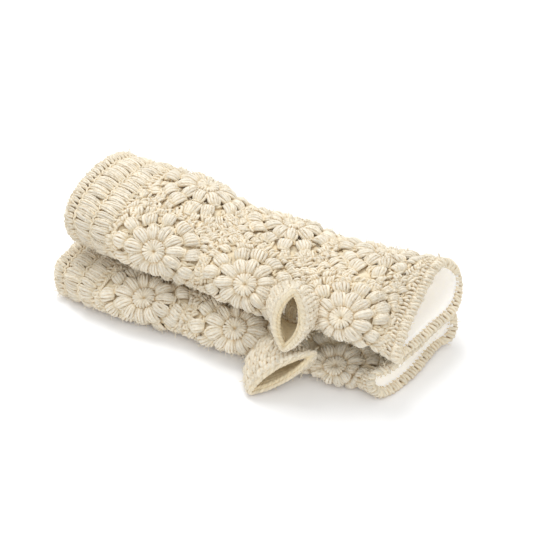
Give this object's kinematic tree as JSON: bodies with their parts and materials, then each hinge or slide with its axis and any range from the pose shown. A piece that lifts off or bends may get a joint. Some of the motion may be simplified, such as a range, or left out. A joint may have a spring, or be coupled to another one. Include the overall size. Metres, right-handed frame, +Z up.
{
  "type": "fingerless gloves",
  "caption": "Pair of long fingerless gloves, crocheted in flower squares, lined with fleece, each with a short thumb tube, lying one on the other.",
  "frame": {"origin": "on the table, under the middle of the box round the pair", "axes": "+X towards the finger ends, +Z up, -Y the side that both thumbs leave from"},
  "size_m": [0.2866, 0.1476, 0.0877],
  "materials": {
    "wool": "undyed cream wool yarn, thick and hairy, crocheted",
    "fleece": "off-white brushed fleece, matt",
    "thread": "cream sewing thread, matt"
  },
  "bodies": {
    "lower_glove": {"lower_wrist_edging": "wool", "lower_cuff": "wool", "lower_finger_edging": "wool", "lower_square_near_1": "wool", "lower_square_far_1": "wool", "lower_square_under_1": "wool", "lower_square_near_2": "wool", "lower_square_far_2": "wool", "lower_square_under_2": "wool", "lower_square_near_3": "wool", "lower_square_far_3": "wool", "lower_square_under_3": "wool", "lower_joining_braid": "wool", "lower_lining": "fleece", "lower_hem_thread_wrist": "thread", "lower_hem_thread_fingers": "thread"},
    "lower_thumb": {"lower_thumb_tube": "wool", "lower_thumb_edging": "wool", "lower_thumb_lining": "fleece", "lower_thumb_hem_thread": "thread"},
    "upper_glove": {"upper_wrist_edging": "wool", "upper_cuff": "wool", "upper_finger_edging": "wool", "upper_square_near_1": "wool", "upper_square_far_1": "wool", "upper_square_under_1": "wool", "upper_square_near_2": "wool", "upper_square_far_2": "wool", "upper_square_under_2": "wool", "upper_square_near_3": "wool", "upper_square_far_3": "wool", "upper_square_under_3": "wool", "upper_joining_braid": "wool", "upper_lining": "fleece", "upper_hem_thread_wrist": "thread", "upper_hem_thread_fingers": "thread"},
    "upper_thumb": {"upper_thumb_tube": "wool", "upper_thumb_edging": "wool", "upper_thumb_lining": "fleece", "upper_thumb_hem_thread": "thread"}
  },
  "joints": [
    {"name": "upper_glove_lift", "type": "slide", "parent": "lower_glove", "child": "upper_glove", "axis": [0, 0, 1], "range_m": [0, 0.12]},
    {"name": "lower_thumb_swing", "type": "hinge", "parent": "lower_glove", "child": "lower_thumb", "pos_m": [0.04968, -0.02738, 0.016], "axis": [0, 0, 1], "range_deg": [-15, 12]},
    {"name": "upper_thumb_swing", "type": "hinge", "parent": "upper_glove", "child": "upper_thumb", "pos_m": [0.05068, -0.01488, 0.0483], "axis": [-1, 0, 0], "range_deg": [0, 35]}
  ]
}
